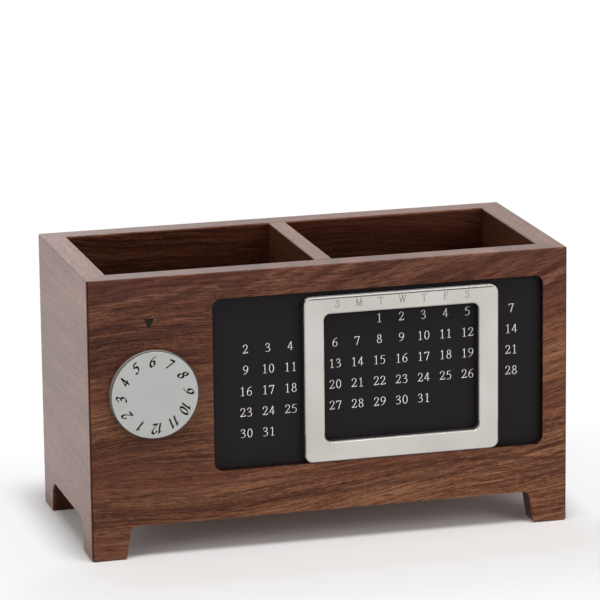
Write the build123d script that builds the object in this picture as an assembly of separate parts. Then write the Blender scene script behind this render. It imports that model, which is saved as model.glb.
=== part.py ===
from build123d import *
import os
from math import radians, tan

# Desk organizer with a perpetual calendar on its front.
# Millimetres, +X right along the front, +Y towards the back, +Z up.
# The origin is on the desk, under the middle of the bounding box.

# ---- Calendar: date plate and the frame that slides over it -------------
column_pitch = 9.32        # spacing of the printed date columns
row_pitch = 8.85           # spacing of the printed date rows
plate_columns = 13         # columns printed on the plate
window_columns = 7         # columns that show through the frame, one week
window_rows = 6            # rows that show through the frame
left_columns = 4           # columns to the left of the window at rest
frame_side_border = 8.2
frame_top_border = 7.0
frame_bottom_border = 8.2
frame_thickness = 3.0
frame_corner = 3.2         # outer corner radius
window_corner = 2.7
frame_edge = 0.4           # bevel round the frame's front edges
frame_float = 0.3          # gap between the frame's back and the plate
plate_thickness = 1.2
pad_thickness = 0.3        # adhesive pad behind the plate
pad_margin = 3.0           # the pad stops this far inside the plate
plate_clearance = 0.15     # round the plate in its recess

# ---- Recess in the front board ------------------------------------------
recess_sill = 33.5         # height of the recess's lower edge above the desk
recess_face_depth = 3.0    # from the board's face in to the plate's face
recess_end_clearance = 0.6  # beyond the frame at each end of its travel
recess_corner_extra = 0.5  # the recess's corner radius beyond the frame's
sill_clearance = 0.3       # under the frame
head_room = 2.5            # over the frame

# ---- Month dial ----------------------------------------------------------
dial_radius = 18.0
dial_thickness = 2.6
dial_edge = 0.4            # bevel round the dial's front
dial_gap = 0.6             # between the dial's back and the board
dial_height = 68.1         # axis above the desk
dial_inset = 8.2           # from the board's left end to the dial's rim
dial_to_recess = 6.7       # from the dial's rim to the recess
pointer_side = 4.0         # width and height of the engraved pointer
pointer_gap = 8.5          # from the dial's rim up to the pointer's tip
pointer_shift = -1.2       # the pointer stands a little left of the axis
pointer_depth = 0.3

# ---- Dial pivot ----------------------------------------------------------
stud_radius = 2.5
stud_seat = 1.5            # depth of the stud's seat in the dial
stud_thread_radius = 2.0
running_clearance = 0.05   # radial, stud in bush
seat_clearance = 0.02      # radial, pieces that are pressed or glued in
bush_wall = 1.25
bush_flange_radius = 6.0
bush_flange_thickness = 0.8
friction_washer_thickness = 0.5
friction_washer_radius = 7.0
end_play = 0.1             # axial, at each end of the bush
nut_pocket_radius = 7.0
nut_pocket_depth = 4.2
back_washer_radius = 5.5
back_washer_thickness = 0.6
nut_across_flats = 7.0
nut_thickness = 2.6
stud_tip = 0.3             # the stud stands this far past its nut

# ---- Frame magnets -------------------------------------------------------
magnet_radius = 2.5
magnet_thickness = 1.4
magnet_inset_x = 4.1       # magnet centre from the frame's left and right edges
magnet_inset_z = 12.0      # magnet centre from the frame's top and bottom edges

# ---- Case: four mitred boards on arched feet ----------------------------
board_thickness = 10.0     # the same all round, so the mitres meet corner to corner
compartment_depth = 72.0   # clear, front board to back board
recess_to_end = 10.34      # from the recess to the board's right end
recess_to_rim = 10.9       # from the recess to the rim
corner_round = 1.2         # outer upright edges
rim_round = 0.6            # all edges of the rim
foot_round = 1.1           # edges of the feet where they meet the desk
arch_height = 13.7
front_foot_width = 14.0    # where a foot meets the desk, along X
end_foot_width = 15.5      # the same, along Y
foot_slope = 10.0          # degrees that a foot's inner side leans
front_arch_corner = 3.0    # radius where the arch turns down into a foot
end_arch_corner = 6.0      # the same, on the two ends

# ---- Floor and divider ---------------------------------------------------
floor_underside = 17.5     # above the desk
floor_thickness = 5.0
floor_tongue_thickness = 3.0  # rebated edge that goes into the boards' groove
floor_groove_depth = 4.0
divider_thickness = 7.0
divider_foot_depth = 1.5   # the divider's foot goes this deep into the floor
tongue_thickness = 3.5
tongue_length = 2.5
tongue_stop = 10.0         # from the rim down to the tongue's upper end
joint_clearance = 0.1      # in grooves and housings

# ---- Cutting -------------------------------------------------------------
overcut = 1.0              # a cutter runs this far past the face that it opens

# ---- Sizes that follow ---------------------------------------------------
window_width = window_columns * column_pitch
window_height = window_rows * row_pitch
frame_width = window_width + 2 * frame_side_border
frame_height = frame_bottom_border + window_height + frame_top_border
travel = (plate_columns - window_columns) * column_pitch
recess_width = frame_width + travel + 2 * recess_end_clearance
recess_height = sill_clearance + frame_height + head_room
recess_corner = frame_corner + recess_corner_extra
recess_depth = recess_face_depth + plate_thickness + pad_thickness

case_length = dial_inset + 2 * dial_radius + dial_to_recess + recess_width + recess_to_end
case_depth = compartment_depth + 2 * board_thickness
case_height = recess_sill + recess_height + recess_to_rim

dial_stand_out = dial_gap + dial_thickness
x_left = -case_length / 2
x_right = case_length / 2
y_front = (dial_stand_out - case_depth) / 2
y_back = y_front + case_depth
y_middle = (y_front + y_back) / 2
y_inner_front = y_front + board_thickness
y_inner_back = y_back - board_thickness
x_inner_left = x_left + board_thickness
x_inner_right = x_right - board_thickness

floor_top = floor_underside + floor_thickness
floor_groove_top = floor_underside + floor_tongue_thickness + joint_clearance
divider_foot = floor_top - divider_foot_depth

dial_x = x_left + dial_inset + dial_radius
recess_x = dial_x + dial_radius + dial_to_recess + recess_width / 2
recess_z = recess_sill + recess_height / 2
frame_x = recess_x + (left_columns - (plate_columns - window_columns) / 2) * column_pitch
frame_z = recess_sill + sill_clearance + frame_height / 2
window_z = frame_z + (frame_bottom_border - frame_top_border) / 2
y_plate_face = y_front + recess_face_depth
y_frame_back = y_plate_face - frame_float
y_frame_front = y_frame_back - frame_thickness

bush_radius = stud_radius + running_clearance + bush_wall
y_nut_pocket = y_inner_front - nut_pocket_depth
y_shoulder = y_nut_pocket + end_play
y_nut = y_shoulder + back_washer_thickness


def block(x, y, z):
    """Box between two values along each axis."""
    centre = Pos((x[0] + x[1]) / 2, (y[0] + y[1]) / 2, (z[0] + z[1]) / 2)
    return centre * Box(x[1] - x[0], y[1] - y[0], z[1] - z[0])


def facing_back(x, y, z):
    """Plane across Y whose own X and Y run along -X and +Z, with +Y out of it."""
    return Plane(origin=(x, y, z), x_dir=(-1, 0, 0), z_dir=(0, 1, 0))


def rod(x, z, radius, y):
    """Cylinder along Y between two values of y."""
    seat = facing_back(x, y[0], z)
    return seat * Cylinder(radius, y[1] - y[0], align=(Align.CENTER, Align.CENTER, Align.MIN))


def slab(x, z, width, height, corner, y):
    """Plate across Y with rounded corners, between two values of y."""
    outline = facing_back(x, y[0], z) * RectangleRounded(width, height, corner)
    return extrude(outline, y[1] - y[0])


# ---- Case ----------------------------------------------------------------
def arch(length, foot_width, corner, plane):
    """Cutter for the arch between two feet of a side of that length."""
    lean = tan(radians(foot_slope))
    below = arch_height / 2
    half_top = length / 2 - foot_width - arch_height * lean
    half_low = length / 2 - foot_width + below * lean
    corners = [(-half_low, -below), (half_low, -below), (half_top, arch_height), (-half_top, arch_height)]
    outline = plane * make_face(Polyline(*corners, close=True))
    outline = fillet(outline.vertices().group_by(Axis.Z)[-1], corner)
    return extrude(outline, case_length, both=True)


def make_carcass():
    """The four boards as one ring, before the mitres part them."""
    shell = Pos(0, y_middle) * extrude(RectangleRounded(case_length, case_depth, corner_round), case_height)
    through = (-overcut, case_height + overcut)
    shell -= block((x_inner_left, x_inner_right), (y_inner_front, y_inner_back), through)
    across_y = Plane(origin=(0, y_middle, 0), x_dir=(1, 0, 0), z_dir=(0, -1, 0))
    across_x = Plane(origin=(0, y_middle, 0), x_dir=(0, 1, 0), z_dir=(1, 0, 0))
    shell -= arch(case_length, front_foot_width, front_arch_corner, across_y)
    shell -= arch(case_depth, end_foot_width, end_arch_corner, across_x)
    shell = fillet(shell.edges().group_by(Axis.Z)[-1], rim_round)
    shell = fillet(shell.edges().group_by(Axis.Z)[0], foot_round)
    shell -= block(
        (x_inner_left - floor_groove_depth, x_inner_right + floor_groove_depth),
        (y_inner_front - floor_groove_depth, y_inner_back + floor_groove_depth),
        (floor_underside, floor_groove_top),
    )
    return shell


def board(shell, outer, inner):
    """The part of the ring between the mitres at an outer edge's two corners."""
    outside = [Vector(*o) * 2 - Vector(*i) for o, i in zip(outer, inner)]
    inside = [Vector(*i) * 1.1 - Vector(*o) * 0.1 for o, i in zip(outer, inner)]
    wedge = make_face(Polyline(outside[0], outside[1], inside[1], inside[0], close=True))
    return shell & extrude(wedge, case_height)


def divider_housing(y):
    """Stopped housing for one tongue of the divider."""
    half = tongue_thickness / 2 + joint_clearance / 2
    return block((-half, half), y, (divider_foot, case_height - tongue_stop + joint_clearance))


def make_front_panel(blank):
    y_outside = y_front - overcut
    y_inside = y_inner_front + overcut
    panel = blank - slab(
        recess_x, recess_z, recess_width, recess_height, recess_corner, (y_outside, y_front + recess_depth)
    )
    panel -= divider_housing((y_inner_front - tongue_length - joint_clearance, y_inside))
    panel -= rod(dial_x, dial_height, bush_radius + seat_clearance, (y_outside, y_inside))
    flange_seat = (y_outside, y_front + bush_flange_thickness)
    panel -= rod(dial_x, dial_height, bush_flange_radius + seat_clearance, flange_seat)
    panel -= rod(dial_x, dial_height, nut_pocket_radius, (y_nut_pocket, y_inside))
    return panel - make_pointer()


def make_pointer():
    """Shallow triangle that points down at the dial's top number."""
    tip = dial_height + dial_radius + pointer_gap
    half = pointer_side / 2
    corners = [(0, tip), (half, tip + pointer_side), (-half, tip + pointer_side)]
    outline = facing_back(dial_x + pointer_shift, y_front + pointer_depth, 0)
    return extrude(outline * make_face(Polyline(*corners, close=True)), -pointer_depth - overcut)


def make_back_panel(blank):
    return blank - divider_housing((y_inner_back - overcut, y_inner_back + tongue_length + joint_clearance))


def make_floor_panel():
    """Panel with a tongue all round and a housing across it for the divider's foot."""
    reach = floor_groove_depth - joint_clearance
    tongue = block(
        (x_inner_left - reach, x_inner_right + reach),
        (y_inner_front - reach, y_inner_back + reach),
        (floor_underside, floor_underside + floor_tongue_thickness),
    )
    field = block(
        (x_inner_left + joint_clearance, x_inner_right - joint_clearance),
        (y_inner_front + joint_clearance, y_inner_back - joint_clearance),
        (floor_underside, floor_top),
    )
    half = divider_thickness / 2 + joint_clearance / 2
    across = (y_inner_front - floor_groove_depth, y_inner_back + floor_groove_depth)
    return tongue + field - block((-half, half), across, (divider_foot, floor_top + overcut))


def make_divider():
    half = divider_thickness / 2
    web = block((-half, half), (y_inner_front, y_inner_back), (divider_foot, case_height))
    web = fillet(web.edges().filter_by(Axis.Y).group_by(Axis.Z)[-1], rim_round)
    half_tongue = tongue_thickness / 2
    return web + block(
        (-half_tongue, half_tongue),
        (y_inner_front - tongue_length, y_inner_back + tongue_length),
        (divider_foot, case_height - tongue_stop),
    )


# ---- Calendar ------------------------------------------------------------
def make_date_plate():
    return slab(
        recess_x,
        recess_z,
        recess_width - 2 * plate_clearance,
        recess_height - 2 * plate_clearance,
        recess_corner - plate_clearance,
        (y_plate_face, y_plate_face + plate_thickness),
    )


def make_plate_pad():
    margin = plate_clearance + pad_margin
    return slab(
        recess_x,
        recess_z,
        recess_width - 2 * margin,
        recess_height - 2 * margin,
        recess_corner,
        (y_plate_face + plate_thickness, y_front + recess_depth),
    )


def magnet_places():
    """Magnet centres, two in each side border."""
    reach_x = frame_width / 2 - magnet_inset_x
    reach_z = frame_height / 2 - magnet_inset_z
    return [(frame_x + sx * reach_x, frame_z + sz * reach_z) for sx in (-1, 1) for sz in (-1, 1)]


def make_week_frame():
    frame = slab(frame_x, frame_z, frame_width, frame_height, frame_corner, (y_frame_front, y_frame_back))
    through = (y_frame_front - overcut, y_frame_back + overcut)
    frame -= slab(frame_x, window_z, window_width, window_height, window_corner, through)
    frame = chamfer(frame.faces().sort_by(Axis.Y)[0].edges(), frame_edge)
    magnet_seat = (y_frame_back - magnet_thickness, y_frame_back + overcut)
    for x, z in magnet_places():
        frame -= rod(x, z, magnet_radius + seat_clearance, magnet_seat)
    return frame


def make_frame_magnets():
    span = (y_frame_back - magnet_thickness, y_frame_back)
    return Compound(children=[rod(x, z, magnet_radius, span) for x, z in magnet_places()])


# ---- Month dial and its pivot -------------------------------------------
def make_month_dial():
    dial = rod(dial_x, dial_height, dial_radius, (y_front - dial_stand_out, y_front - dial_gap))
    dial = chamfer(dial.edges().sort_by(Axis.Y)[0], dial_edge)
    seat = (y_front - dial_gap - stud_seat, y_front)
    return dial - rod(dial_x, dial_height, stud_radius + seat_clearance, seat)


def make_dial_stud():
    stud = rod(dial_x, dial_height, stud_radius, (y_front - dial_gap - stud_seat, y_shoulder))
    return stud + rod(dial_x, dial_height, stud_thread_radius, (y_shoulder, y_nut + nut_thickness + stud_tip))


def make_pivot_bush():
    bush = rod(dial_x, dial_height, bush_radius, (y_front, y_nut_pocket))
    bush += rod(dial_x, dial_height, bush_flange_radius, (y_front, y_front + bush_flange_thickness))
    through = (y_front - overcut, y_nut_pocket + overcut)
    return bush - rod(dial_x, dial_height, stud_radius + running_clearance, through)


def washer(radius, bore, y):
    through = (y[0] - overcut, y[1] + overcut)
    return rod(dial_x, dial_height, radius, y) - rod(dial_x, dial_height, bore, through)


def make_lock_nut():
    seat = facing_back(dial_x, y_nut, dial_height)
    blank = seat * RegularPolygon(nut_across_flats / 2, 6, major_radius=False)
    bore = stud_thread_radius + seat_clearance
    through = (y_nut - overcut, y_nut + nut_thickness + overcut)
    return extrude(blank, nut_thickness) - rod(dial_x, dial_height, bore, through)


def make_parts():
    shell = make_carcass()
    outer = {
        "front_left": (x_left, y_front),
        "front_right": (x_right, y_front),
        "back_right": (x_right, y_back),
        "back_left": (x_left, y_back),
    }
    inner = {
        "front_left": (x_inner_left, y_inner_front),
        "front_right": (x_inner_right, y_inner_front),
        "back_right": (x_inner_right, y_inner_back),
        "back_left": (x_inner_left, y_inner_back),
    }

    def between(first, second):
        return board(shell, (outer[first], outer[second]), (inner[first], inner[second]))

    return {
        "front_panel": make_front_panel(between("front_left", "front_right")),
        "right_end_panel": between("front_right", "back_right"),
        "back_panel": make_back_panel(between("back_right", "back_left")),
        "left_end_panel": between("back_left", "front_left"),
        "floor_panel": make_floor_panel(),
        "divider": make_divider(),
        "date_plate": make_date_plate(),
        "plate_pad": make_plate_pad(),
        "week_frame": make_week_frame(),
        "frame_magnets": make_frame_magnets(),
        "month_dial": make_month_dial(),
        "dial_stud": make_dial_stud(),
        "pivot_bush": make_pivot_bush(),
        "friction_washer": washer(
            friction_washer_radius,
            stud_radius + running_clearance,
            (y_front - friction_washer_thickness, y_front),
        ),
        "back_washer": washer(back_washer_radius, stud_thread_radius + seat_clearance, (y_shoulder, y_nut)),
        "lock_nut": make_lock_nut(),
    }


os.makedirs("parts", exist_ok=True)
for name, solid in make_parts().items():
    export_step(solid, f"parts/{name}.step")
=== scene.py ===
from math import cos, pi, radians, sin, sqrt
import bmesh
import bpy
from mathutils import Matrix, Vector
from mathutils.geometry import delaunay_2d_cdt


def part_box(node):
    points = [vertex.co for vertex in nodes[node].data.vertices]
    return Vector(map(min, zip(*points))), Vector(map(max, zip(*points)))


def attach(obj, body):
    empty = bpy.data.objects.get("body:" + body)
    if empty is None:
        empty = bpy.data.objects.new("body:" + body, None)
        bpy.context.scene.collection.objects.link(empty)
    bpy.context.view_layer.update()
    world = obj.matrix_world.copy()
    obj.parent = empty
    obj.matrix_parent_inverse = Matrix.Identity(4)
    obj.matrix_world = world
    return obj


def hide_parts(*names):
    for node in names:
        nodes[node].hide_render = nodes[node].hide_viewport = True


# Desk organizer with a perpetual calendar: finishes, printed numbers, light and camera.
# Places are in metres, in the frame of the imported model. Patterns of the finishes are worked out
# in millimetres, and so are the values that only they use.
MM = 0.001

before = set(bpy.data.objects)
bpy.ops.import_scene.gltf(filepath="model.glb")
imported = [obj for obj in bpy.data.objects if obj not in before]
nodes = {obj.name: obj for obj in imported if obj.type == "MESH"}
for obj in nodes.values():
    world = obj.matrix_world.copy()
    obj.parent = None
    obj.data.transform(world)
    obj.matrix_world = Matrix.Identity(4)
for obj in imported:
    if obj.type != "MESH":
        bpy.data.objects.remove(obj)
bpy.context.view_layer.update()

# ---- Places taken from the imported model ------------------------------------
front_low, front_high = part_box("front_panel")
case_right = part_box("right_end_panel")[1].x
case_front = front_low.y
case_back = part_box("back_panel")[1].y
case_top = front_high.z
board = front_high.y - front_low.y          # thickness of the boards
plate_low, plate_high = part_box("date_plate")
frame_low, frame_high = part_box("week_frame")
dial_low, dial_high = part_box("month_dial")
dial_centre = (dial_low + dial_high) / 2
dial_radius = (dial_high.x - dial_low.x) / 2

# ---- Printing --------------------------------------------------------------
PLATE_COLUMNS = 13
PLATE_ROWS = 6
COLUMN_PITCH = 9.32 * MM
ROW_PITCH = 8.72 * MM
WEEK = 7
FIRST_NUMBER = -5            # number that the top left cell would hold
LAST_DAY = 31
DATE_HEIGHT = 3.75 * MM
DATE_STEP = 0.75             # way from one digit to the next, as a share of the height
DATE_WIDENING = 1.10         # share by which the dates' digits are wider than drawn
DATE_TOP_ROW = 91.2 * MM     # middle of the top row's numbers, above the desk
DATE_SHIFT = 0.75 * MM       # the print sits a little right of the plate's middle
LETTER_HEIGHT = 3.1 * MM
LETTER_PITCH = 9.1 * MM
LETTER_MIDDLE = 99.1 * MM    # above the desk
LETTER_SHIFT = 0.3 * MM      # right of the frame's middle
MONTHS = 12
MONTH_HEIGHT = 4.2 * MM
MONTH_STEP = 0.50            # the same for the months
MONTH_SLANT = 0.22           # share of its height by which a month's digit leans to the right
MONTH_RING = 0.765           # share of the dial's radius
MONTH_AT_TOP = 6
DIAL_TURN = -2.6             # degrees; the top number stands a little left of the dial's axis
INK = 0.03 * MM              # thickness of the print
INK_PROUD = 0.8 * INK        # how far the print stands out; the rest is sunk in
ENGRAVING = 0.06 * MM        # depth of the dial's numbers
CUTTER_PROUD = 2 * ENGRAVING   # how far before the dial's face the solids that cut them start


# ---- Node trees --------------------------------------------------------------
class Term:
    """An output in a node tree. Arithmetic on it adds the nodes that work it out."""

    def __init__(self, graph, socket):
        self.graph, self.socket = graph, socket

    def __add__(self, other):
        return self.graph.math("ADD", self, other)

    def __sub__(self, other):
        return self.graph.math("SUBTRACT", self, other)

    def __rsub__(self, other):
        return self.graph.math("SUBTRACT", other, self)

    def __mul__(self, other):
        return self.graph.math("MULTIPLY", self, other)

    def __truediv__(self, other):
        return self.graph.math("DIVIDE", self, other)

    def __mod__(self, other):
        return self.graph.math("FLOORED_MODULO", self, other)

    def __gt__(self, other):
        return self.graph.math("GREATER_THAN", self, other)

    def __lt__(self, other):
        return self.graph.math("LESS_THAN", self, other)

    def __abs__(self):
        return self.graph.math("ABSOLUTE", self)

    __radd__ = __add__
    __rmul__ = __mul__


class Graph:
    """A node tree of a material, the world or a geometry modifier."""

    def __init__(self, tree):
        self.tree = tree
        tree.nodes.clear()

    def node(self, kind, settings=None, inputs=None):
        """Adds a node of that type; settings come first, then values or links of its sockets."""
        made = self.tree.nodes.new(kind)
        for key, value in (settings or {}).items():
            if key == "stops":
                self.set_stops(made.color_ramp.elements, value)
            else:
                setattr(made, key, value)
        for key, value in (inputs or {}).items():
            for part in value if isinstance(value, list) else [value]:
                if isinstance(part, Term):
                    self.tree.links.new(part.socket, made.inputs[key])
                else:
                    made.inputs[key].default_value = part
        return made

    def term(self, kind, settings=None, inputs=None, output=0):
        """Adds a node and gives one of its outputs, by number or name."""
        return Term(self, self.node(kind, settings, inputs).outputs[output])

    @staticmethod
    def set_stops(elements, stops):
        while len(elements) < len(stops):
            elements.new(0.5)
        for element, (position, colour) in zip(elements, stops):
            element.position = position
            element.color = (*colour, 1)

    def math(self, operation, *values):
        return self.term("ShaderNodeMath", {"operation": operation}, dict(enumerate(values)))

    def clamp(self, value):
        return self.term("ShaderNodeClamp", None, {"Value": value})

    def fade(self, value, start, end):
        """Smooth step from 0 at start to 1 at end."""
        inputs = {"Value": value, "From Min": start, "From Max": end}
        return self.term("ShaderNodeMapRange", {"interpolation_type": "SMOOTHSTEP"}, inputs)

    def vector(self, x, y, z):
        return self.term("ShaderNodeCombineXYZ", None, {"X": x, "Y": y, "Z": z})

    def mix(self, factor, first, second, blend="MIX"):
        """Mix of two colours, each a tuple or a term."""
        colours = [c if isinstance(c, Term) else (*c, 1) for c in (first, second)]
        settings = {"data_type": "RGBA", "blend_type": blend}
        return self.term("ShaderNodeMix", settings, {0: factor, 6: colours[0], 7: colours[1]}, 2)

    def noise(self, place, detail=2.0, roughness=0.5):
        inputs = {"Vector": place, "Scale": 1.0, "Detail": detail, "Roughness": roughness}
        return self.term("ShaderNodeTexNoise", None, inputs)

    def bump(self, height, strength, distance):
        inputs = {"Height": height, "Strength": strength, "Distance": distance}
        return self.term("ShaderNodeBump", None, inputs)


class Finish(Graph):
    """A material whose patterns lie on Object coordinates, in millimetres."""

    def __init__(self, name):
        self.material = bpy.data.materials.new(name)
        self.material.use_nodes = True
        super().__init__(self.material.node_tree)
        place = self.term("ShaderNodeTexCoord", output="Object")
        scaled = self.term("ShaderNodeVectorMath", {"operation": "SCALE"}, {0: place, "Scale": 1 / MM})
        parts = self.node("ShaderNodeSeparateXYZ", None, {0: scaled})
        self.x, self.y, self.z = (Term(self, socket) for socket in parts.outputs)

    def grain(self, fineness, detail=1.0, roughness=0.5):
        """Noise that is alike in all directions, with that many cells to a millimetre."""
        place = self.vector(self.x * fineness, self.y * fineness, self.z * fineness)
        return self.noise(place, detail, roughness)

    def surface(self, **inputs):
        """Closes the material with a Principled shader; names are written with _ for a space."""
        sockets = {key.replace("_", " "): value for key, value in inputs.items()}
        for key, value in sockets.items():
            if isinstance(value, tuple) and len(value) == 3:
                sockets[key] = (*value, 1)
        shader = self.term("ShaderNodeBsdfPrincipled", None, sockets)
        self.node("ShaderNodeOutputMaterial", None, {"Surface": shader})
        return self.material


# ---- Walnut ------------------------------------------------------------------
WALNUT_DARK = (0.042, 0.0125, 0.0060)
WALNUT_MIDDLE = (0.110, 0.0418, 0.0193)
WALNUT_LIGHT = (0.182, 0.0834, 0.0433)
WALNUT_RED = (0.092, 0.0255, 0.0145)
WALNUT_PORE = (0.024, 0.0070, 0.0035)
WALNUT_SEAM = (0.018, 0.0060, 0.0035)   # the mitres' glue lines and the upright edges
RECESS_WALL = (0.012, 0.0050, 0.0035)
SCORCHED = (0.010, 0.0070, 0.0055)
WALNUT_IOR = 1.15
OIL_IOR = 1.17
NEXT_BOARD = 57.0                        # across the grain from one board's figure to the next one's
BOW_REACH = 100.0                        # from the middle to where a bow is measured
ARCH_TOP = 13.7                          # above the desk

# The figures that make up the grain: cells to a millimetre along it and across it, detail,
# roughness, and a shift that keeps them apart
FIGURES = {
    "sway": (0.008, 0.016, 1.0, 0.5, 0.0),
    "waver": (0.030, 0.090, 1.0, 0.5, 3.1),
    "bands": (0.0045, 0.060, 2.0, 0.55, 5.3),
    "streaks": (0.010, 0.75, 4.0, 0.66, 7.7),
    "fibres": (0.075, 2.4, 2.0, 0.6, 11.9),
    "speckle": (0.60, 1.7, 2.0, 0.6, 13.1),
    "pores": (0.16, 3.0, 1.0, 0.5, 17.3),
    "redness": (0.006, 0.05, 1.0, 0.5, 23.9),
}
BENDS = {"sway": 26.0, "waver": 1.8}     # full width of the ways that these bend the grain
TONES = {"bands": 0.72, "streaks": 0.88, "fibres": 0.80, "speckle": 0.60}   # their weights in its tone
TONE_STOPS = [(0.26, WALNUT_DARK), (0.50, WALNUT_MIDDLE), (0.74, WALNUT_LIGHT)]

# Shares of the board's colour that stay
PAINTED_SHADE_INSIDE = (0.28, 0.17, 0.17)         # painted shade on the faces inside the case, deeper below the rim
PAINTED_LIGHT_RIM = (1.13, 0.96, 0.86)                 # painted light on the top rim
PAINTED_SHADE_UNDER = (0.42, 0.36, 0.36)          # painted shade on the arches' soffits and the feet's inner sides
PAINTED_SHEEN_LEFT_END = (1.30, 1.15, 1.40)          # painted sheen that makes the left end paler
PAINTED_SHADE_TOP = (0.87, 0.79, 0.90)           # painted shade toward the top of the front board; the next three also colour that board
# painted light low on the right of the front board
PAINTED_LIGHT_LOW_RIGHT = (1.46, 1.51, 1.55)
STEEP_BANDS = (0.56, 0.48, 0.46)
LONG_BANDS = (0.64, 0.60, 0.66)

# Height at x = 0, rise, bow and thickness of the front's dark veins
VEINS = [
    (20.5, 0.055, 7.0, 1.6),
    (30.0, 0.020, -5.0, 1.1),
    (128.0, 0.34, 0.0, 1.8),
    (96.0, 0.22, 4.0, 2.2),
]


def walnut_grain(finish, axes, seed, slope, bow):
    """The grain's colour, fibres, pores and relief. axes has the letters along, across and through
    the board. The grain rises by slope, in degrees, and lies farther across by bow at BOW_REACH."""
    along, across, through = (getattr(finish, letter) for letter in axes)
    lean = radians(slope)
    length = along * cos(lean) + across * sin(lean)
    bend = along * along * (bow / BOW_REACH ** 2)
    width = across * cos(lean) - along * sin(lean) - bend + seed * NEXT_BOARD

    def figure(part):
        """Noise that is drawn out along the lines of one width."""
        stretch, scale, detail, roughness, shift = FIGURES[part]
        place = finish.vector(length * stretch + (seed + shift), width * scale, through * scale)
        return finish.noise(place, detail, roughness)

    for part, reach in BENDS.items():
        width = width + (figure(part) - 0.5) * reach
    figures = {part: figure(part) for part in TONES}
    tone = 0.5
    for part, weight in TONES.items():
        tone = tone + (figures[part] - 0.5) * weight
    colour = finish.term("ShaderNodeValToRGB", {"stops": TONE_STOPS}, {"Fac": tone})
    redness = finish.fade(figure("redness"), 0.50, 0.68)
    colour = finish.mix(redness * 0.45, colour, WALNUT_RED)
    pores = finish.fade(figure("pores"), 0.54, 0.68)
    colour = finish.mix(pores * 0.75, colour, WALNUT_PORE)
    relief = figures["fibres"] * 0.6 - pores + figures["streaks"] * 0.4
    return colour, figures["fibres"], pores, relief


def paint_shade_and_rim_light(finish, colour, inwards):
    """Painted shade inside the case and underneath it, and painted light on its rim. inwards is the way in
    from the nearest outer face."""
    below_rim = case_top / MM - finish.z
    # painted shade on the faces inside the case, deepening below the rim
    inner = inwards > board / MM - 0.1
    shade = finish.fade(below_rim, 0.2, 1.2) * 0.80 + finish.fade(below_rim, 0.0, 24.0) * 0.20
    colour = finish.mix(inner * shade, colour, PAINTED_SHADE_INSIDE, "MULTIPLY")
    # painted light on the top rim
    colour = finish.mix(1 - finish.fade(below_rim, 0.1, 0.5), colour, PAINTED_LIGHT_RIM, "MULTIPLY")
    # painted shade under the arches and on the feet's inner sides
    under = finish.fade(inwards, 0.5, 1.5) * (1 - finish.fade(finish.z, ARCH_TOP, ARCH_TOP + 1.0))
    return finish.mix(under, colour, PAINTED_SHADE_UNDER, "MULTIPLY")


def walnut(name, axes, seed, slope, bow=0.0, extra=None):
    """Oiled walnut board; extra is a function that changes its colour further."""
    finish = Finish(name)
    colour, fibres, pores, relief = walnut_grain(finish, axes, seed, slope, bow)
    from_end = case_right / MM - abs(finish.x)
    from_long_side = finish.math("MINIMUM", finish.y - case_front / MM, case_back / MM - finish.y)
    colour = paint_shade_and_rim_light(finish, colour, finish.math("MINIMUM", from_end, from_long_side))
    mitre = 1 - finish.fade(abs(from_end - from_long_side), 0.05, 0.45)
    upright_edge = 1 - finish.fade(finish.math("MAXIMUM", from_end, from_long_side), 0.35, 0.95)
    upright_board = not axes.endswith("z")
    if upright_board:
        colour = finish.mix(mitre * 0.75, colour, WALNUT_SEAM)
    if extra:
        colour = extra(finish, colour)
    if upright_board:
        colour = finish.mix(upright_edge * 0.80, colour, WALNUT_SEAM)
    return finish.surface(
        Base_Color=colour,
        Roughness=finish.clamp(0.34 + fibres * 0.12 + pores * 0.10),
        IOR=WALNUT_IOR,
        Coat_Weight=1 - upright_edge * 0.9,
        Coat_IOR=OIL_IOR,
        Coat_Roughness=0.30,
        Normal=finish.bump(relief, 0.25, 0.12 * MM),
    )


def left_end_painted_sheen(finish, colour):
    """The left end, slightly redder and paler than the other boards: a painted sheen."""
    return finish.mix(1.0, colour, PAINTED_SHEEN_LEFT_END, "MULTIPLY")


def vein(finish, colour, height, rise, bow, thickness):
    """Dark line that crosses x = 0 at about that height and lies higher by bow at BOW_REACH."""
    wander = (finish.noise(finish.vector(finish.x * 0.03, height, 0.0)) - 0.5) * 6.0
    line = finish.x * rise + finish.x * finish.x * (bow / BOW_REACH ** 2) + height + wander
    depth = 1 - finish.fade(abs(finish.z - line), 0.0, thickness)
    return finish.mix(depth * 0.55, colour, WALNUT_DARK)


def dark_bands(finish, colour, rise, width, share, where):
    """Uneven bands that rise to the right; share is what they leave of the colour."""
    across = (finish.z - finish.x * rise) * (1 / width)
    bands = finish.noise(finish.vector(finish.x * 0.014, across, width), 2.0, 0.55)
    return finish.mix(finish.fade(bands, 0.42, 0.60) * where, colour, share, "MULTIPLY")


def front_figure_and_painted_light(finish, colour):
    """Painted shade toward the top and painted light low on the right, with steep dark bands and long
    veins.
    """
    # painted shade toward the top of the front board
    top_shade_mask = finish.fade(finish.z, 64.0, 112.0)
    colour = finish.mix(top_shade_mask, colour, PAINTED_SHADE_TOP, "MULTIPLY")
    # pale is painted light, brighter toward the lower right
    pale = finish.fade(finish.x * 0.7 - finish.z, -118.0, 72.0)
    colour = finish.mix(pale, colour, PAINTED_LIGHT_LOW_RIGHT, "MULTIPLY")
    right = finish.fade(finish.x, -70.0, -20.0)
    top_strip = finish.fade(finish.z, 90.0, 104.0)
    colour = dark_bands(finish, colour, 0.50, 8.0, STEEP_BANDS, top_strip * right)
    upper_half = finish.fade(finish.z, 50.0, 90.0)
    colour = dark_bands(finish, colour, 0.13, 3.2, LONG_BANDS, upper_half * (1 - right))
    for height, rise, bow, thickness in VEINS:
        colour = vein(finish, colour, height, rise, bow, thickness)
    return colour


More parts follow.
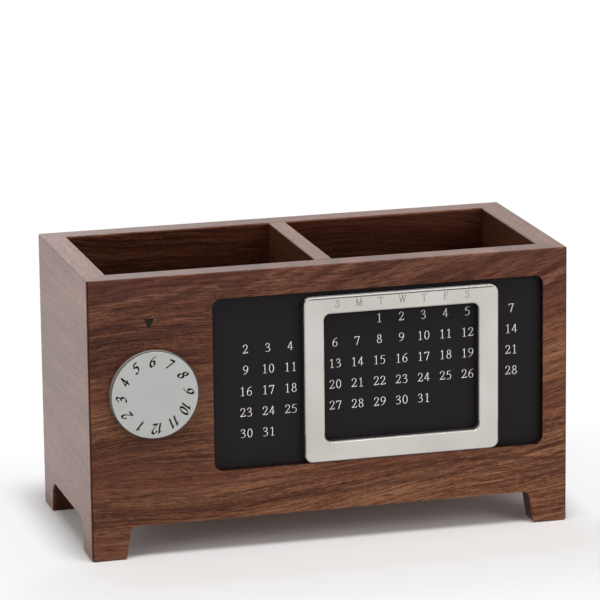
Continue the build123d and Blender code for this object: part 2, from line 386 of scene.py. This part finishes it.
RECESS_MARGIN = 0.25         # round the plate's outline, within which the recess's walls lie
RECESS_REACH = 5.0           # from the board's face in, beyond which its wood keeps its colour
POINTER_SIDE = 4.0           # width and height
POINTER_GAP = 8.5            # from the dial's rim up to the pointer's tip
POINTER_SHIFT = -1.2         # the pointer stands a little left of the dial's axis
POINTER_MARGIN = 0.06        # by which the scorched colour runs past the pointer's outline


def recess_walls(finish, colour):
    """Dark walls of the recess round the date plate."""
    middle = (plate_low + plate_high) / (2 * MM)
    half = (plate_high - plate_low) / (2 * MM)
    into = finish.y - case_front / MM
    across = abs(finish.x - middle.x) < half.x + RECESS_MARGIN
    upright = abs(finish.z - middle.z) < half.z + RECESS_MARGIN
    inside = across * upright * (into < RECESS_REACH)
    return finish.mix(inside * finish.fade(into, 0.05, 0.35), colour, RECESS_WALL)


def scorched_pointer(finish, colour):
    """Triangle over the dial, with its tip down and as wide as it is high."""
    rise = finish.z - ((dial_centre.z + dial_radius) / MM + POINTER_GAP)
    sideways = abs(finish.x - (dial_centre.x / MM + POINTER_SHIFT))
    between_sides = sideways < rise / 2 + POINTER_MARGIN
    below_top = rise < POINTER_SIDE + POINTER_MARGIN
    at_face = finish.y - case_front / MM < 1.0
    return finish.mix(between_sides * below_top * at_face, colour, SCORCHED)


def front_marks(finish, colour):
    """Figure of the front board with its painted light and shade, the dark walls of its recess and the
    pointer.
    """
    colour = front_figure_and_painted_light(finish, colour)
    colour = recess_walls(finish, colour)
    return scorched_pointer(finish, colour)


# ---- Metals, coatings and ink --------------------------------------------------
STEEL_DARK = (0.570, 0.532, 0.500)
STEEL_LIGHT = (0.650, 0.614, 0.582)
STEEL_BEVEL = (0.62, 0.60, 0.58)
SILL_BEVEL_PAINTED_SHADE = (0.40, 0.385, 0.37)        # painted shade on the window's lower bevel, which faces the top lamp
SILL_LOW, SILL_HIGH = 4.0, 12.0         # above the frame's lower edge, with that bevel in between
BLACKENED = (0.020, 0.018, 0.018)
TOP_EDGE = (0.66, 0.65, 0.64)
TOP_LINE_PAINTED_REFLECTION = (0.05, 0.045, 0.04)          # painted dark reflection along the top of the frame's face
DIAL_DARK = (0.39, 0.39, 0.38)
DIAL_LIGHT = (0.55, 0.55, 0.54)
# painted shade on the dial's bevel
DIAL_BEVEL_PAINTED_SHADE = (0.150, 0.140, 0.135)
DIAL_SIDE = (0.200, 0.185, 0.175)
BEVEL_FADE = (0.02, 0.08)               # depths between which a steel face turns into its bevel,
FRAME_WALL_FADE = (0.40, 0.55)          # the frame's bevel into its wall
DIAL_SIDE_FADE = (0.42, 0.55)           # and the dial's bevel into its side


def brushed_steel():
    """Upright brush lines on the face, blackened walls and a matt top edge that catches the light."""
    finish = Finish("brushed_steel")
    depth = finish.y - frame_low.y / MM
    rise = finish.z - frame_low.z / MM
    drop = frame_high.z / MM - finish.z
    lines = finish.noise(finish.vector(finish.x * 9.0, finish.y * 9.0, finish.z * 0.12), 2.0, 0.6)
    shade = lines * 0.35 + finish.grain(0.05) * 0.65
    colour = finish.mix(finish.fade(shade, 0.3, 0.7), STEEL_DARK, STEEL_LIGHT)
    top = drop < 1.0
    wall = finish.fade(depth, *FRAME_WALL_FADE)
    colour = finish.mix(wall, colour, finish.mix(top, BLACKENED, TOP_EDGE))
    bevel = finish.fade(depth, *BEVEL_FADE) * (1 - wall)
    # painted shade on the window's lower bevel
    sill = (rise > SILL_LOW) * (rise < SILL_HIGH)
    colour = finish.mix(bevel, colour, finish.mix(sill, STEEL_BEVEL, SILL_BEVEL_PAINTED_SHADE))
    # painted dark reflection just under the frame's top bevel
    line = top * (1 - wall) * (1 - bevel) * (1 - finish.fade(drop, 0.75, 0.95))
    colour = finish.mix(line * 0.90, colour, TOP_LINE_PAINTED_REFLECTION)
    return finish.surface(
        Base_Color=colour,
        Metallic=1 - wall * 0.85,
        Roughness=finish.clamp(0.30 + lines * 0.10 + wall * 0.30 + bevel * 0.50),
        Normal=finish.bump(lines, 0.10, 0.02 * MM),
    )


def blasted_steel():
    """Fine even grain, slightly darker than the frame, with a painted shade on its bevel and a dark side.
    """
    finish = Finish("blasted_steel")
    grain = finish.grain(7.0, 3.0, 0.7)
    colour = finish.mix(grain * 0.6 + finish.grain(0.12) * 0.4, DIAL_DARK, DIAL_LIGHT)
    depth = finish.y - dial_low.y / MM
    bevel = finish.fade(depth, *BEVEL_FADE)
    side = finish.fade(depth, *DIAL_SIDE_FADE)
    # painted shade on the bevel
    colour = finish.mix(bevel, colour, finish.mix(side, DIAL_BEVEL_PAINTED_SHADE, DIAL_SIDE))
    return finish.surface(
        Base_Color=colour,
        Metallic=1 - side * 0.75,
        Roughness=finish.clamp(0.42 + grain * 0.12 + bevel * 0.30),
        Normal=finish.bump(grain, 0.22, 0.03 * MM),
    )


def turned_metal(name, dark, light, roughness):
    """Concentric tool marks about the dial's axis."""
    finish = Finish(name)
    x = finish.x - dial_centre.x / MM
    z = finish.z - dial_centre.z / MM
    radius = finish.math("SQRT", x * x + z * z)
    rings = finish.noise(finish.vector(radius * 6.0, finish.y * 1.5, 0.0), 2.0, 0.6)
    return finish.surface(
        Base_Color=finish.mix(rings, dark, light),
        Metallic=1.0,
        Roughness=finish.clamp(roughness + rings * 0.15),
        Normal=finish.bump(rings, 0.15, 0.02 * MM),
    )


def coated(name, dark, light, grain_size, roughness, ior, metallic=0.0):
    """Paint, plastic, foam or plating with a fine grain of that size in millimetres."""
    finish = Finish(name)
    grain = finish.grain(1 / grain_size, 2.0, 0.6)
    return finish.surface(
        Base_Color=finish.mix(grain * 0.5 + finish.grain(0.04) * 0.5, dark, light),
        Metallic=metallic,
        Roughness=finish.clamp(roughness + grain * 0.12),
        IOR=ior,
        Normal=finish.bump(grain, 0.15, 0.03 * MM),
    )


black_ink = coated(
    "black_ink", (0.012, 0.0065, 0.004), (0.018, 0.0105, 0.007),
    grain_size=0.15, roughness=0.55, ior=1.12,
)
white_ink = coated(
    "white_ink", (0.70, 0.68, 0.68), (0.82, 0.80, 0.80),
    grain_size=0.15, roughness=0.50, ior=1.30,
)
grey_ink = coated(
    "grey_ink", (0.19, 0.175, 0.16), (0.25, 0.23, 0.21),
    grain_size=0.15, roughness=0.50, ior=1.30,
)
zinc = turned_metal("zinc_steel", (0.50, 0.50, 0.52), (0.62, 0.62, 0.63), roughness=0.28)
dial_steel = blasted_steel()

finishes = {
    "front_panel": walnut("walnut_front", "xzy", seed=1.0, slope=7.5, bow=5.0, extra=front_marks),
    "back_panel": walnut("walnut_back", "xzy", seed=2.0, slope=-3.0),
    "left_end_panel": walnut("walnut_left_end", "yzx", seed=3.0, slope=2.0, extra=left_end_painted_sheen),
    "right_end_panel": walnut("walnut_right_end", "yzx", seed=4.0, slope=-2.0),
    "floor_panel": walnut("walnut_floor", "xyz", seed=5.0, slope=1.0),
    "divider": walnut("walnut_divider", "yzx", seed=6.0, slope=1.0),
    "date_plate": coated(
        "black_plate", (0.0070, 0.0055, 0.0060), (0.0105, 0.0084, 0.0092),
        grain_size=0.25, roughness=0.50, ior=1.22,
    ),
    "plate_pad": coated(
        "adhesive_pad", (0.04, 0.04, 0.04), (0.08, 0.08, 0.08),
        grain_size=0.30, roughness=0.80, ior=1.40,
    ),
    "week_frame": brushed_steel(),
    "frame_magnets": coated(
        "nickel", (0.55, 0.55, 0.54), (0.66, 0.65, 0.63),
        grain_size=0.50, roughness=0.18, ior=1.45, metallic=1.0,
    ),
    "dial_stud": zinc,
    "back_washer": zinc,
    "lock_nut": zinc,
    "pivot_bush": turned_metal("brass", (0.62, 0.44, 0.20), (0.76, 0.58, 0.30), roughness=0.25),
    "friction_washer": coated(
        "nylon", (0.035, 0.035, 0.035), (0.055, 0.055, 0.055),
        grain_size=0.30, roughness=0.40, ior=1.50,
    ),
    "month_dial": dial_steel,
}
for node_name, material in finishes.items():
    for slot in nodes[node_name].material_slots:
        slot.material = material


# ---- Pen-drawn numbers and letters ---------------------------------------------
# A glyph is a list of strokes in a box one unit high. A stroke is a list of points that a pen
# follows: two points are a straight line, more are a smooth curve. Serifs are kept apart.
DIGITS = "0123456789"
DIGIT_WIDTH = 0.60
WIDTHS = {"S": 0.57, "M": 0.82, "T": 0.68, "W": 0.92, "F": 0.60}


def half_turn(strokes):
    """A digit's strokes turned upside down."""
    return [[(DIGIT_WIDTH - x, 1 - y) for x, y in stroke] for stroke in strokes]


def oval(x, y, wide, tall):
    """Closed stroke round that middle; wide and tall are half its sizes."""
    sides = 16
    turns = [2 * pi * k / sides for k in range(sides + 1)]
    return [(x + wide * cos(turn), y + tall * sin(turn)) for turn in turns]


SIX = [[
    (0.50, 0.96), (0.33, 0.87), (0.17, 0.68), (0.09, 0.42), (0.11, 0.18), (0.21, 0.05), (0.33, 0.03),
    (0.46, 0.11), (0.51, 0.28), (0.46, 0.47), (0.34, 0.56), (0.20, 0.52), (0.10, 0.38),
]]
STROKES = {
    "0": [oval(0.30, 0.50, 0.21, 0.47)],
    "1": [[(0.32, 0.03), (0.32, 0.97)], [(0.16, 0.82), (0.32, 0.95)]],
    "2": [
        [(0.09, 0.72), (0.14, 0.89), (0.29, 0.97), (0.45, 0.88), (0.48, 0.70), (0.38, 0.47), (0.21, 0.23),
         (0.07, 0.05)],
        [(0.07, 0.06), (0.50, 0.06)], [(0.08, 0.09), (0.48, 0.09)],
    ],
    "3": [
        [(0.09, 0.78), (0.16, 0.91), (0.29, 0.97), (0.42, 0.89), (0.44, 0.73), (0.35, 0.59), (0.20, 0.52)],
        [(0.20, 0.53), (0.39, 0.49), (0.50, 0.31), (0.43, 0.11), (0.26, 0.03), (0.08, 0.08)],
    ],
    "4": [[(0.39, 0.96), (0.06, 0.30)], [(0.06, 0.29), (0.56, 0.29)], [(0.39, 0.96), (0.39, 0.03)]],
    "5": [
        [(0.17, 0.94), (0.49, 0.94)], [(0.17, 0.94), (0.11, 0.58)],
        [(0.11, 0.58), (0.29, 0.61), (0.45, 0.50), (0.49, 0.31), (0.40, 0.11), (0.23, 0.03), (0.07, 0.08)],
    ],
    "6": SIX,
    "7": [[(0.08, 0.93), (0.52, 0.93)], [(0.09, 0.90), (0.49, 0.90)], [(0.52, 0.93), (0.25, 0.03)]],
    "8": [oval(0.30, 0.75, 0.16, 0.215), oval(0.30, 0.27, 0.205, 0.24)],
    "9": half_turn(SIX),
    "S": [[
        (0.49, 0.78), (0.43, 0.92), (0.28, 0.97), (0.13, 0.89), (0.11, 0.72), (0.24, 0.58), (0.41, 0.46),
        (0.50, 0.28), (0.43, 0.10), (0.27, 0.03), (0.12, 0.09), (0.07, 0.24),
    ]],
    "M": [
        [(0.10, 0.03), (0.10, 0.97)], [(0.10, 0.97), (0.40, 0.06)], [(0.40, 0.06), (0.70, 0.97)],
        [(0.70, 0.97), (0.70, 0.03)],
    ],
    "T": [[(0.04, 0.97), (0.64, 0.97)], [(0.34, 0.97), (0.34, 0.03)]],
    "W": [
        [(0.06, 0.97), (0.26, 0.05)], [(0.26, 0.05), (0.46, 0.97)], [(0.46, 0.97), (0.66, 0.05)],
        [(0.66, 0.05), (0.86, 0.97)],
    ],
    "F": [[(0.14, 0.03), (0.14, 0.97)], [(0.14, 0.97), (0.56, 0.97)], [(0.14, 0.52), (0.42, 0.52)]],
}
SERIFS = {
    "1": [[(0.16, 0.02), (0.48, 0.02)]],
    "2": [[(0.50, 0.06), (0.54, 0.20)]],
    "7": [[(0.08, 0.93), (0.06, 0.76)]],
    "S": [[(0.49, 0.96), (0.50, 0.72)], [(0.07, 0.04), (0.06, 0.28)]],
    "M": [[(0.02, 0.02), (0.20, 0.02)], [(0.60, 0.02), (0.80, 0.02)], [(0.02, 0.98), (0.12, 0.98)],
          [(0.68, 0.98), (0.80, 0.98)]],
    "T": [[(0.04, 0.97), (0.03, 0.78)], [(0.64, 0.97), (0.65, 0.78)], [(0.22, 0.02), (0.46, 0.02)]],
    "W": [[(-0.02, 0.98), (0.16, 0.98)], [(0.38, 0.98), (0.54, 0.98)], [(0.78, 0.98), (0.94, 0.98)]],
    "F": [[(0.04, 0.02), (0.26, 0.02)], [(0.04, 0.98), (0.16, 0.98)], [(0.56, 0.97), (0.57, 0.78)],
          [(0.42, 0.62), (0.42, 0.42)]],
}


class Nib:
    """A pen's elliptical tip: half its width, half its height and its turn in degrees."""

    def __init__(self, wide, tall, turn):
        self.wide, self.tall, self.turn = wide, tall, Matrix.Rotation(radians(turn), 2)

    def side(self, tangent):
        """From the pen's path to the left side of its stroke."""
        normal = Vector((-tangent.y, tangent.x))
        local = self.turn.transposed() @ normal
        return normal * sqrt((self.wide * local.x) ** 2 + (self.tall * local.y) ** 2)

    def tip(self, middle):
        """The nib's outline where it is put down or lifted."""
        corners = 12
        turns = [2 * pi * k / corners for k in range(corners)]
        return [middle + self.turn @ Vector((self.wide * cos(t), self.tall * sin(t))) for t in turns]


UPRIGHT_PEN = Nib(0.032, 0.015, 0)
FINE_PEN = Nib(0.058, 0.026, 0)
CALLIGRAPHY_PEN = Nib(0.105, 0.040, 38)
CLOSED = 1e-6                # a curve whose ends are nearer than this is closed
JOINED = 1e-4                # points of a glyph that are nearer than this become one
ONLY_INSIDE = 1              # the triangulation keeps what lies inside the strokes


def pen_path(points, steps=4):
    """A smooth curve through the points, or the straight line between two."""
    knots = [Vector(p) for p in points]
    if len(knots) == 2:
        return knots
    ends = [knots[0] * 2 - knots[1], *knots, knots[-1] * 2 - knots[-2]]
    if (knots[0] - knots[-1]).length < CLOSED:
        ends[0], ends[-1] = knots[-2], knots[1]
    path = []
    for before, start, end, after in zip(ends, ends[1:], ends[2:], ends[3:]):
        for step in range(steps):
            t = step / steps
            path.append(0.5 * (
                2 * start + (end - before) * t + (2 * before - 5 * start + 4 * end - after) * t ** 2
                + (3 * start - before - 3 * end + after) * t ** 3
            ))
    return [*path, knots[-1]]


def stroke_faces(points, nib):
    """The stroke's area as overlapping faces: a quad along each step and the nib at both ends."""
    path = pen_path(points)
    tangents = [(b - a).normalized() for a, b in zip(path, path[1:])]
    tangents = [tangents[0], *((a + b).normalized() for a, b in zip(tangents, tangents[1:])), tangents[-1]]
    sides = [nib.side(tangent) for tangent in tangents]
    steps = zip(path, path[1:], sides, sides[1:])
    quads = [[a - side_a, b - side_b, b + side_b, a + side_a] for a, b, side_a, side_b in steps]
    return [nib.tip(path[0]), nib.tip(path[-1]), *quads]


def glyph_outline(name, nib, slant, serifs, widening):
    """The glyph's strokes joined to one flat triangle mesh: its points and triangles."""
    strokes = STROKES[name] + (SERIFS.get(name, []) if serifs else [])
    faces = [face for stroke in strokes for face in stroke_faces(stroke, nib)]
    middle = WIDTHS.get(name, DIGIT_WIDTH) / 2
    points, loops = [], []
    for face in faces:
        loops.append(list(range(len(points), len(points) + len(face))))
        points += [Vector(((p.x - middle) * widening + slant * (p.y - 0.5), p.y - 0.5)) for p in face]
    points, _, triangles, _, _, sources = delaunay_2d_cdt(points, [], loops, ONLY_INSIDE, JOINED)
    return points, [triangle for triangle, source in zip(triangles, sources) if source]


def glyph_mesh(name, nib, height, thickness, slant=0.0, serifs=True, widening=1.0):
    """The glyph as a closed flat solid, its middle at the origin and its front towards -Y."""
    points, triangles = glyph_outline(name, nib, slant, serifs, widening)
    count = len(points)
    verts = [(p.x * height, y, p.y * height) for y in (0, thickness) for p in points]
    used = {(a, b) for tri in triangles for a, b in zip(tri, tri[1:] + tri[:1])}
    rim = [(b, a, a + count, b + count) for a, b in used if (b, a) not in used]
    back = [tuple(v + count for v in reversed(tri)) for tri in triangles]
    mesh = bpy.data.meshes.new("glyph_" + name)
    mesh.from_pydata(verts, [], [tuple(tri) for tri in triangles] + back + sorted(rim))
    return mesh


def type_case(title, names, **style):
    """Collection of glyph objects, in the order of the names."""
    case = bpy.data.collections.new(title)
    for name in names:
        mesh = glyph_mesh(name, **style)
        case.objects.link(bpy.data.objects.new(f"{title}_{name}", mesh))
    return case


# ---- Numbers set by geometry nodes ---------------------------------------------
class Setter(Graph):
    """A geometry tree with named inputs, run once on a mesh and then made a plain mesh."""

    def __init__(self, name, inputs):
        super().__init__(bpy.data.node_groups.new(name, "GeometryNodeTree"))
        interface = self.tree.interface
        self.values = {}
        interface.new_socket("Geometry", in_out="OUTPUT", socket_type="NodeSocketGeometry")
        interface.new_socket("Geometry", in_out="INPUT", socket_type="NodeSocketGeometry")
        for key, (kind, value) in inputs.items():
            socket = interface.new_socket(key, in_out="INPUT", socket_type="NodeSocket" + kind)
            self.values[socket.identifier] = value
        source = self.node("NodeGroupInput")
        self.inputs = {socket.name: Term(self, socket) for socket in source.outputs if socket.name}
        self.index = self.term("GeometryNodeInputIndex")

    def number_points(self, count, number, x, z, turn):
        """Instances of one or two digits for each number from 1 to LAST_DAY, turned about Y."""
        half_step = self.inputs["Digit step"] * 0.5
        digits = self.term("GeometryNodeCollectionInfo", None, {
            "Collection": self.inputs["Digits"], "Separate Children": True, "Reset Children": True,
        })
        about = {"Axis": (0, 1, 0), "Angle": turn}
        rotation = self.term("FunctionNodeAxisAngleToRotation", None, about)
        printed = (number > 0.5) * (number < LAST_DAY + 0.5)
        double = number > 9.5
        right = self.math("COSINE", turn)
        down = self.math("SINE", turn)
        units = number % 10.0
        tens = self.math("FLOOR", number / 10.0)
        places = ((units, half_step * double, printed), (tens, half_step * -1.0, printed * double))
        set_digits = []
        for digit, shift, shown in places:
            place = self.vector(x + shift * right, self.inputs["Face"], z - shift * down)
            points = self.term("GeometryNodePoints", None, {"Count": count, "Position": place})
            set_digits.append(self.term("GeometryNodeInstanceOnPoints", None, {
                "Points": points, "Selection": shown, "Instance": digits, "Pick Instance": True,
                "Instance Index": digit, "Rotation": rotation,
            }))
        joined = self.term("GeometryNodeJoinGeometry", None, {0: set_digits})
        solid = self.term("GeometryNodeRealizeInstances", None, {0: joined})
        return self.term("GeometryNodeSetMaterial", None, {0: solid, "Material": self.inputs["Ink"]})

    def run(self, result, name, mesh):
        """Plain mesh object from this tree's result on that mesh."""
        self.node("NodeGroupOutput", None, {0: result})
        maker = bpy.data.objects.new(name + "_maker", mesh)
        bpy.context.scene.collection.objects.link(maker)
        modifier = maker.modifiers.new("setter", "NODES")
        modifier.node_group = self.tree
        for identifier, value in self.values.items():
            modifier[identifier] = value
        graph = bpy.context.evaluated_depsgraph_get()
        made = bpy.data.meshes.new_from_object(maker.evaluated_get(graph))
        bpy.data.objects.remove(maker)
        return mesh_object(name, made)


def mesh_object(name, mesh):
    thing = bpy.data.objects.new(name, mesh)
    mesh.name = name
    bpy.context.scene.collection.objects.link(thing)
    return thing


def set_dates():
    """The dates, in white, on the black plate."""
    style = {"nib": UPRIGHT_PEN, "height": DATE_HEIGHT, "thickness": INK, "widening": DATE_WIDENING}
    first_column = (plate_low.x + plate_high.x) / 2 - (PLATE_COLUMNS - 1) / 2 * COLUMN_PITCH + DATE_SHIFT
    setter = Setter("dates", {
        "Digits": ("Collection", type_case("date", DIGITS, **style)),
        "Ink": ("Material", white_ink),
        "Digit step": ("Float", DATE_STEP * DATE_HEIGHT),
        "Face": ("Float", plate_low.y - INK_PROUD),
        "Left": ("Float", first_column),
        "Top": ("Float", DATE_TOP_ROW),
        "Column pitch": ("Float", COLUMN_PITCH),
        "Row pitch": ("Float", ROW_PITCH),
        "Columns": ("Int", PLATE_COLUMNS),
        "Cells": ("Int", PLATE_COLUMNS * PLATE_ROWS),
    })
    given = setter.inputs
    column = setter.index % given["Columns"]
    row = setter.math("FLOOR", setter.index / given["Columns"])
    number = column + row * WEEK + FIRST_NUMBER
    x = given["Left"] + column * given["Column pitch"]
    z = given["Top"] - row * given["Row pitch"]
    numbers = setter.number_points(given["Cells"], number, x, z, turn=0.0)
    return setter.run(numbers, "date_numbers", bpy.data.meshes.new("cells"))


CREASE = radians(30)         # edges of the dial that turn more than this stay sharp
FLAT_FACE = 0.999            # share of a face's normal along Y from which on the face is flat


def set_months():
    """The dial with the numbers 1 to 12 cut into its face and filled with black."""
    style = {"nib": CALLIGRAPHY_PEN, "height": MONTH_HEIGHT, "thickness": CUTTER_PROUD + ENGRAVING}
    setter = Setter("months", {
        "Digits": ("Collection", type_case("month", DIGITS, **style, slant=MONTH_SLANT, serifs=False)),
        "Ink": ("Material", black_ink),
        "Digit step": ("Float", MONTH_STEP * MONTH_HEIGHT),
        "Face": ("Float", dial_low.y - CUTTER_PROUD),
        "Ring": ("Float", MONTH_RING * dial_radius),
        "Months": ("Int", MONTHS),
        "At top": ("Float", MONTH_AT_TOP),
        "Turn": ("Float", radians(DIAL_TURN)),
    })
    given = setter.inputs
    number = setter.index + 1.0
    turn = (number - given["At top"]) * (2 * pi / MONTHS) + given["Turn"]
    x = setter.math("SINE", turn) * given["Ring"] + dial_centre.x
    z = setter.math("COSINE", turn) * given["Ring"] + dial_centre.z
    numbers = setter.number_points(given["Months"], number, x, z, turn)
    engraved = setter.term(
        "GeometryNodeMeshBoolean",
        {"operation": "DIFFERENCE", "solver": "EXACT"},
        {"Mesh 1": given["Geometry"], "Mesh 2": numbers, "Self Intersection": True},
    )
    blank = nodes["month_dial"].data.copy()
    merge_points(blank)
    dial = setter.run(engraved, "month_dial_engraved", blank)
    dial.data.set_sharp_from_angle(angle=CREASE)
    for face in dial.data.polygons:
        face.use_smooth = abs(face.normal.y) < FLAT_FACE
    return dial


def merge_points(mesh):
    """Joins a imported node's loose triangles."""
    work = bmesh.new()
    work.from_mesh(mesh)
    bmesh.ops.remove_doubles(work, verts=work.verts, dist=0.001 * MM)
    work.to_mesh(mesh)
    work.free()


def set_weekdays():
    """Thin grey letters on the frame's top border, one over each column."""
    letters = "SMTWTFS"
    first_letter = (frame_low.x + frame_high.x) / 2 + LETTER_SHIFT - (len(letters) - 1) / 2 * LETTER_PITCH
    verts, faces = [], []
    for place, name in enumerate(letters):
        glyph = glyph_mesh(name, FINE_PEN, LETTER_HEIGHT, INK)
        at = Vector((first_letter + place * LETTER_PITCH, frame_low.y - INK_PROUD, LETTER_MIDDLE))
        faces += [tuple(len(verts) + v for v in face.vertices) for face in glyph.polygons]
        verts += [v.co + at for v in glyph.vertices]
    mesh = bpy.data.meshes.new("weekday_letters")
    mesh.from_pydata(verts, [], faces)
    mesh.materials.append(grey_ink)
    return mesh_object("weekday_letters", mesh)


dates = set_dates()
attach(dates, "case")
weekdays = set_weekdays()
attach(weekdays, "week_frame")
months = set_months()
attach(months, "month_dial")
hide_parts("month_dial")


# ---- Floor, light and camera ---------------------------------------------------
# Near the case the camera sees the floor as the lamps light it, and farther off it sees plain
# white. The fades between the two are in metres.
FLOOR_COLOUR = (0.62, 0.61, 0.61)
FLOOR_SIDE = 16.0
ROUND_FADE = (0.01, 0.15)    # distances from the case's outline at which it starts and ends
BACK_FADE = (-0.004, 0.045)  # the same, counted from the case's back
END_FADE = 0.018             # past the ends: the fade's length beside the case,
END_SPREAD = 1.5             # how much longer it grows for each metre in front of the case,
END_START = -0.2             # and where it starts, as a share of its length; less than 0 is under the case
PAINTED_FLOOR_SHADE = 0.90            # brightness of the plain floor at the case, darker there as a painted shade
WHITE_FLOOR = 0.09           # distance from the case at which it has risen to 1
PAINTED_BOUNCE_SHARE = 0.045          # share of it that stays next to the case, a painted glow standing in for the light that the wood throws back, in this tint
PAINTED_BOUNCE_TINT = (1.0, 0.62, 0.50)   # in this tint
WHITE = (1.0, 1.0, 1.0)


def ray_mask(graph):
    """1 for the camera, gloss and glass, which see the plain background."""
    rays = ("Is Camera Ray", "Is Glossy Ray", "Is Transmission Ray")
    seen = [graph.term("ShaderNodeLightPath", output=ray) for ray in rays]
    return graph.clamp(seen[0] + seen[1] + seen[2])


def floor_fades(finish):
    """Distance from the case, and how plain the floor is: 0 next to the case and 1 far off."""
    past_end = abs(finish.x) * MM - case_right
    beside = finish.math("MAXIMUM", past_end, 0.0)
    past_long_side = finish.math("MAXIMUM", abs(finish.y) * MM - case_back, 0.0)
    distance = finish.math("SQRT", beside * beside + past_long_side * past_long_side)
    in_front = finish.math("MAXIMUM", case_front - finish.y * MM, 0.0)
    all_round = finish.fade(distance, *ROUND_FADE)
    at_ends = finish.fade(past_end / (in_front * END_SPREAD + END_FADE), END_START, 1.0)
    at_back = finish.fade(finish.y * MM - case_back, *BACK_FADE)
    return distance, 1 - (1 - all_round) * (1 - at_ends) * (1 - at_back)


def make_floor():
    half = FLOOR_SIDE / 2
    corners = [(-half, -half, 0), (half, -half, 0), (half, half, 0), (-half, half, 0)]
    mesh = bpy.data.meshes.new("floor")
    mesh.from_pydata(corners, [], [(0, 1, 2, 3)])
    floor = mesh_object("floor", mesh)
    finish = Finish("pale_floor")
    distance, clear = floor_fades(finish)
    # painted shade: the plain floor is dimmer near the case
    glow = PAINTED_FLOOR_SHADE + finish.fade(distance, 0.0, WHITE_FLOOR) * (1 - PAINTED_FLOOR_SHADE)
    tint = finish.mix(finish.fade(clear, PAINTED_BOUNCE_SHARE, 3 * PAINTED_BOUNCE_SHARE), PAINTED_BOUNCE_TINT, WHITE)
    plain_colour = finish.mix(1.0, tint, glow, "MULTIPLY")
    lit = finish.term("ShaderNodeBsdfDiffuse", None, {"Color": (*FLOOR_COLOUR, 1)})
    plain = finish.term("ShaderNodeEmission", None, {"Color": plain_colour, "Strength": 1.0})
    # next to the case the floor keeps this share of painted glow
    share = finish.math("MAXIMUM", clear, PAINTED_BOUNCE_SHARE) * ray_mask(finish)
    shader = finish.term("ShaderNodeMixShader", None, {0: share, 1: lit, 2: plain})
    finish.node("ShaderNodeOutputMaterial", None, {"Surface": shader})
    mesh.materials.append(finish.material)


AMBIENT = (0.24, 0.24, 0.24)
ROOM = (0.40, 0.40, 0.40)    # what gloss sees in front of the case
ROOM_FADE = (-0.2, 0.3)      # from the room to white, by how far the direction points to the back


def make_world():
    """White to the camera and to gloss behind the case; a dimmer room in front of it."""
    world = bpy.data.worlds.new("studio")
    bpy.context.scene.world = world
    world.use_nodes = True
    graph = Graph(world.node_tree)
    direction = graph.term("ShaderNodeTexCoord", output="Generated")
    backwards = graph.term("ShaderNodeSeparateXYZ", None, {0: direction}, "Y")
    camera = graph.term("ShaderNodeLightPath", output="Is Camera Ray")
    gloss = graph.mix(graph.fade(backwards, *ROOM_FADE), ROOM, WHITE)
    colour = graph.mix(camera, graph.mix(ray_mask(graph), AMBIENT, gloss), WHITE)
    shader = graph.term("ShaderNodeBackground", None, {"Color": colour, "Strength": 1.0})
    graph.node("ShaderNodeOutputWorld", None, {"Surface": shader})


LAMPS_FACE = Vector((0.0, 0.0, 0.05))


def softbox(name, place, wide, tall, power, in_gloss=True):
    """Rectangular lamp that faces the case; gloss needn't show it."""
    lamp = bpy.data.lights.new(name, "AREA")
    lamp.shape = "RECTANGLE"
    lamp.size, lamp.size_y, lamp.energy = wide, tall, power
    holder = bpy.data.objects.new(name, lamp)
    holder.visible_glossy = in_gloss
    holder.location = place
    holder.rotation_euler = (LAMPS_FACE - Vector(place)).to_track_quat("-Z", "Y").to_euler()
    bpy.context.scene.collection.objects.link(holder)


CAMERA_PLACE = (-0.43255, -1.58177, 0.48464)
CAMERA_LENS = 246.0          # millimetres
CAMERA_SENSOR = 36.0         # millimetres wide
CAMERA_YAW = 15.271          # degrees to the right of straight at the front
CAMERA_PITCH = 13.510        # degrees down
CAMERA_ROLL = -0.649         # degrees


def make_camera():
    lens = bpy.data.cameras.new("camera")
    lens.lens, lens.sensor_width = CAMERA_LENS, CAMERA_SENSOR
    camera = bpy.data.objects.new("camera", lens)
    turn = (
        Matrix.Rotation(radians(-CAMERA_YAW), 4, "Z")
        @ Matrix.Rotation(radians(90 - CAMERA_PITCH), 4, "X")
        @ Matrix.Rotation(radians(CAMERA_ROLL), 4, "Z")
    )
    camera.matrix_world = Matrix.Translation(CAMERA_PLACE) @ turn
    bpy.context.scene.collection.objects.link(camera)
    bpy.context.scene.camera = camera


make_floor()
make_world()
softbox("key", (1.10, -1.45, 0.85), wide=1.2, tall=1.0, power=16.0)
softbox("top", (0.05, -0.55, 1.70), wide=1.2, tall=0.6, power=26.0)
softbox("left_fill", (-1.70, -0.60, 0.80), wide=1.2, tall=1.0, power=18.0, in_gloss=False)
softbox("right_fill", (1.90, 0.20, 0.45), wide=1.0, tall=0.6, power=7.0, in_gloss=False)
softbox("back", (-0.90, 1.80, 0.70), wide=3.2, tall=1.2, power=7.0)
make_camera()
bpy.context.scene.view_settings.view_transform = "Standard"
